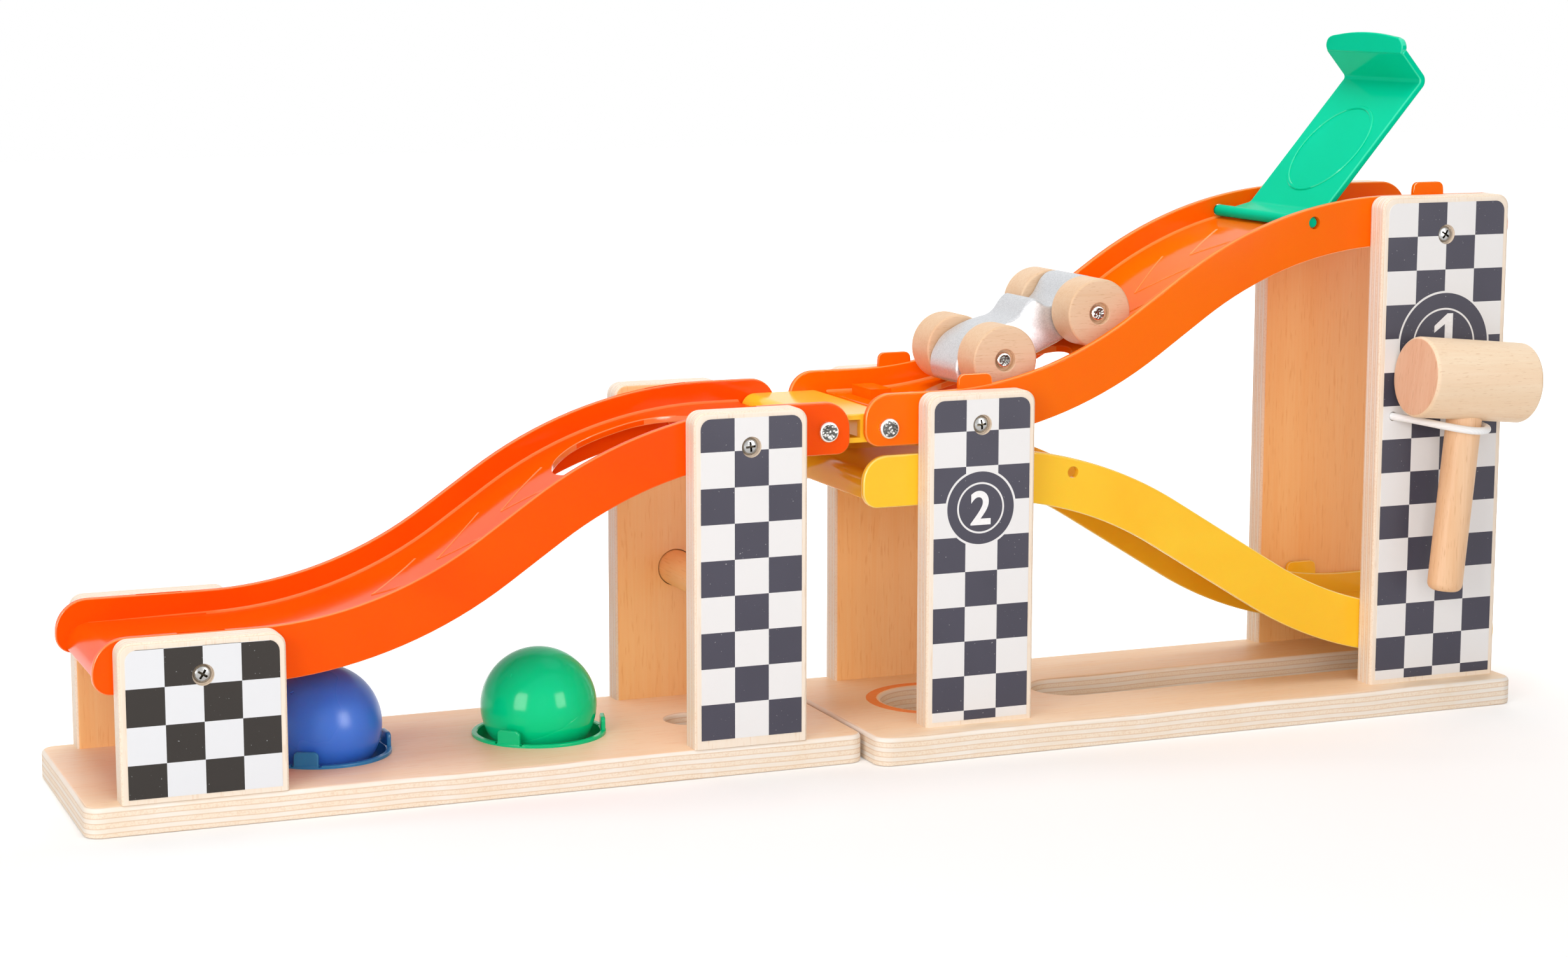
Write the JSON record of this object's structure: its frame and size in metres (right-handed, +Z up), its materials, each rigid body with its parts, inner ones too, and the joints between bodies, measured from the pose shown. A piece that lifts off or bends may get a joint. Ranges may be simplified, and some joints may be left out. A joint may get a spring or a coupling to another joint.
{
  "type": "ball pounding toy",
  "caption": "Folding wooden ball pounding toy: plywood frames carry plastic ramps, with a link hinge, a flap, balls in seat rings, a hammer in a cord loop and a rolling car.",
  "frame": {"origin": "underside of the right base, straight below the hinge pin that the right frame carries", "axes": "+X along the toy towards the tower, +Y to the back, +Z up; the hammer hangs on the -Y side"},
  "size_m": [0.5815, 0.1306, 0.2719],
  "materials": {
    "plywood": "lacquered birch plywood",
    "veneer": "lacquered plywood with a warm veneer",
    "label": "printed paper label",
    "orange_plastic": "satin moulded plastic",
    "yellow_plastic": "satin moulded plastic",
    "mint_plastic": "satin moulded plastic",
    "beech": "sanded and waxed",
    "silver_paint": "grey painted wood",
    "blue_plastic": "satin",
    "green_plastic": "gloss",
    "nickel": "plated steel",
    "elastic": "braided elastic cord"
  },
  "bodies": {
    "right_frame": {"right_base": "plywood", "post2_front": "veneer", "post2_back": "veneer", "tower_front": "veneer", "tower_back": "veneer", "upper_track": "orange_plastic", "lower_track": "yellow_plastic", "post2_label": "label", "tower_label": "label", "screws_right": "nickel", "foot_screws_right": "nickel", "hammer_loop": "elastic", "hinge_pin_right": "nickel"},
    "left_frame": {"left_base": "plywood", "short_front": "veneer", "short_back": "veneer", "tall_front": "veneer", "tall_back": "veneer", "left_track": "orange_plastic", "cross_dowel": "beech", "ring_blue": "blue_plastic", "ring_green": "green_plastic", "short_label": "label", "tall_label": "label", "screws_left": "nickel", "foot_screws_left": "nickel", "hinge_pin_left": "nickel"},
    "link": {"link": "yellow_plastic"},
    "ball_blue": {"ball_blue": "blue_plastic"},
    "ball_green": {"ball_green": "green_plastic"},
    "flap": {"flap": "mint_plastic"},
    "hammer": {"hammer_head": "beech", "hammer_handle": "beech"},
    "car": {"car_body": "silver_paint", "axle_low": "nickel", "axle_high": "nickel"},
    "wheel_low_front": {"wheel_low_front": "beech"},
    "wheel_low_back": {"wheel_low_back": "beech"},
    "wheel_high_front": {"wheel_high_front": "beech"},
    "wheel_high_back": {"wheel_high_back": "beech"}
  },
  "joints": [
    {"name": "link_hinge", "type": "hinge", "parent": "right_frame", "child": "link", "pos_m": [0, 0, 0.1259], "axis": [0, 1, 0], "range_deg": [0, 75]},
    {"name": "left_hinge", "type": "hinge", "parent": "link", "child": "left_frame", "pos_m": [-0.0248, 0, 0.1259], "axis": [0, 1, 0], "range_deg": [0, 75]},
    {"name": "flap_hinge", "type": "hinge", "parent": "right_frame", "child": "flap", "pos_m": [0.1841, 0, 0.19805], "axis": [0, -1, 0], "range_deg": [0, 50]},
    {"name": "ball_blue_lift", "type": "slide", "parent": "left_frame", "child": "ball_blue", "axis": [0, 0, 1], "range_m": [0, 0.012]},
    {"name": "ball_green_lift", "type": "slide", "parent": "left_frame", "child": "ball_green", "axis": [0, 0, 1], "range_m": [0, 0.045]},
    {"name": "hammer_lift", "type": "slide", "parent": "right_frame", "child": "hammer", "axis": [0.0958, 0, 0.9954], "range_m": [0, 0.085]},
    {"name": "car_lift", "type": "slide", "parent": "right_frame", "child": "car", "axis": [-0.3773, 0, 0.9261], "range_m": [0, 0.015]},
    {"name": "wheel_low_front_spin", "type": "hinge", "parent": "car", "child": "wheel_low_front", "pos_m": [0.05388, 0, 0.14804], "axis": [0, 1, 0], "continuous": true},
    {"name": "wheel_low_back_spin", "type": "hinge", "parent": "car", "child": "wheel_low_back", "pos_m": [0.05388, 0, 0.14804], "axis": [0, 1, 0], "continuous": true},
    {"name": "wheel_high_front_spin", "type": "hinge", "parent": "car", "child": "wheel_high_front", "pos_m": [0.09445, 0, 0.16457], "axis": [0, 1, 0], "continuous": true},
    {"name": "wheel_high_back_spin", "type": "hinge", "parent": "car", "child": "wheel_high_back", "pos_m": [0.09445, 0, 0.16457], "axis": [0, 1, 0], "continuous": true}
  ],
  "couplings": [
    {"joint": "link_hinge", "follows": "left_hinge", "ratio": 1}
  ]
}
